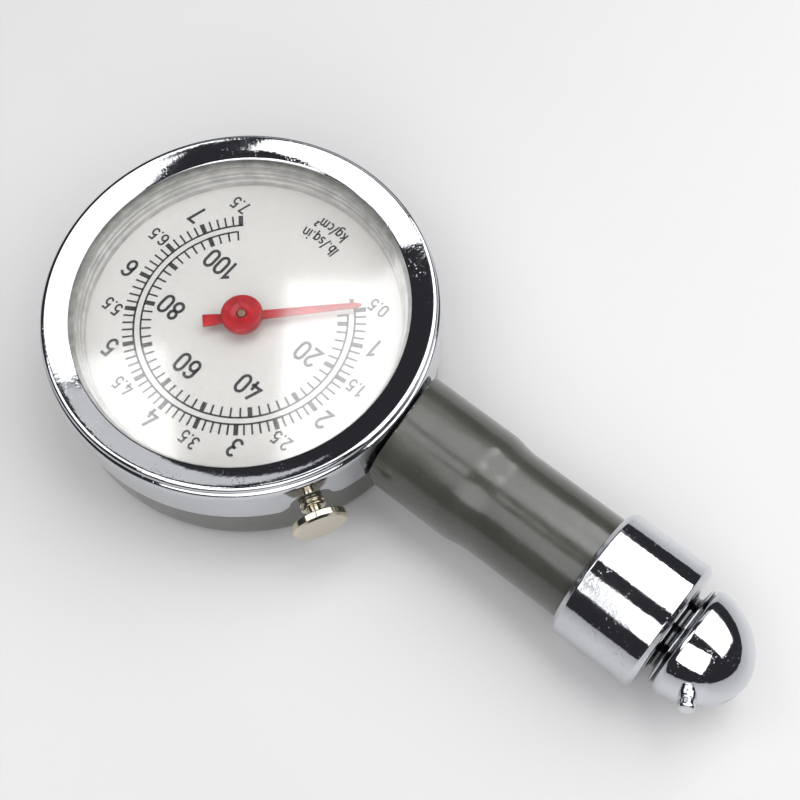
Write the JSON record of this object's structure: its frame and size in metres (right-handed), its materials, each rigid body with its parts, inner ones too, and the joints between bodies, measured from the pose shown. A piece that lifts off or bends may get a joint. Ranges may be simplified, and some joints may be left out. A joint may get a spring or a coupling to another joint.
{
  "type": "dial tyre pressure gauge",
  "caption": "Hand-held dial tyre pressure gauge: round case with bezel, lens and pointer, straight handle, angled domed chuck, release button.",
  "frame": {"origin": "centre of the flat case back", "axes": "+Z out of the dial, +X along the handle towards the chuck"},
  "size_m": [0.1112, 0.0556, 0.0192],
  "materials": {
    "grey_paint": "gloss",
    "chrome": "polished",
    "lens_glass": "clear",
    "dial_paint": "satin",
    "spacer_grey": "satin",
    "red_paint": "gloss",
    "brass": "machined",
    "bronze": "drawn",
    "nickel": "plated",
    "steel": "machined",
    "rubber": "matte"
  },
  "bodies": {
    "gauge": {"case_cup": "grey_paint", "bezel_ring": "chrome", "lens": "lens_glass", "lens_gasket": "rubber", "dial_spacer": "spacer_grey", "dial_plate": "dial_paint", "stop_pin": "steel", "hairspring_stud": "brass", "base_plate": "brass", "top_plate": "brass", "plate_pillars": "brass", "plate_screws": "steel", "bourdon_tube": "bronze", "tube_tip": "brass", "socket_block": "brass", "socket_screws": "steel", "neck_boss": "grey_paint", "neck_washer": "steel", "button_bush": "nickel", "handle_tube": "grey_paint", "air_tube": "bronze", "check_body": "brass", "check_oring": "rubber", "chuck_sleeve": "chrome", "chuck_head": "chrome", "pin_carrier": "brass", "mouth_seal": "rubber", "bleed_pin": "chrome", "button_spring": "steel", "check_spring": "steel"},
    "pointer_shaft": {"pointer": "red_paint", "pointer_hub": "red_paint", "pointer_arbor": "brass", "pinion": "brass", "spring_collet": "brass", "hairspring": "bronze"},
    "sector": {"sector_gear": "brass", "sector_arbor": "steel"},
    "link": {"link": "brass", "link_pivot": "steel", "link_screw": "steel"},
    "button": {"release_button": "nickel", "button_clip": "steel", "release_poppet": "brass", "release_seal": "rubber"},
    "check_valve": {"check_poppet": "brass"}
  },
  "joints": [
    {"name": "sector_turn", "type": "hinge", "parent": "gauge", "child": "sector", "pos_m": [-0.01269, -0.00462, 0.0062], "axis": [0, 0, 1], "range_deg": [0, 33.9], "stiffness_Nm_per_rad": 0.01, "springref_deg": -5.73},
    {"name": "pointer_turn", "type": "hinge", "parent": "gauge", "child": "pointer_shaft", "pos_m": [0, 0, 0.01], "axis": [0, 0, -1], "range_deg": [0, 271.5], "deforming": ["hairspring"]},
    {"name": "link_turn", "type": "hinge", "parent": "sector", "child": "link", "pos_m": [-0.01586, -0.00631, 0.0073], "axis": [0, 0, 1], "range_deg": [-34, 0]},
    {"name": "button_press", "type": "slide", "parent": "gauge", "child": "button", "axis": [-0.8678, 0.497, 0], "range_m": [0, 0.0015], "stiffness_N_per_m": 400, "springref_m": -0.002, "deforming": ["button_spring"]},
    {"name": "check_valve_lift", "type": "slide", "parent": "gauge", "child": "check_valve", "axis": [-1, 0, 0], "range_m": [0, 0.001], "stiffness_N_per_m": 150, "springref_m": -0.001, "deforming": ["check_spring"]}
  ],
  "couplings": [
    {"joint": "pointer_turn", "follows": "sector_turn", "ratio": 8},
    {"joint": "link_turn", "follows": "sector_turn", "ratio": -1}
  ]
}
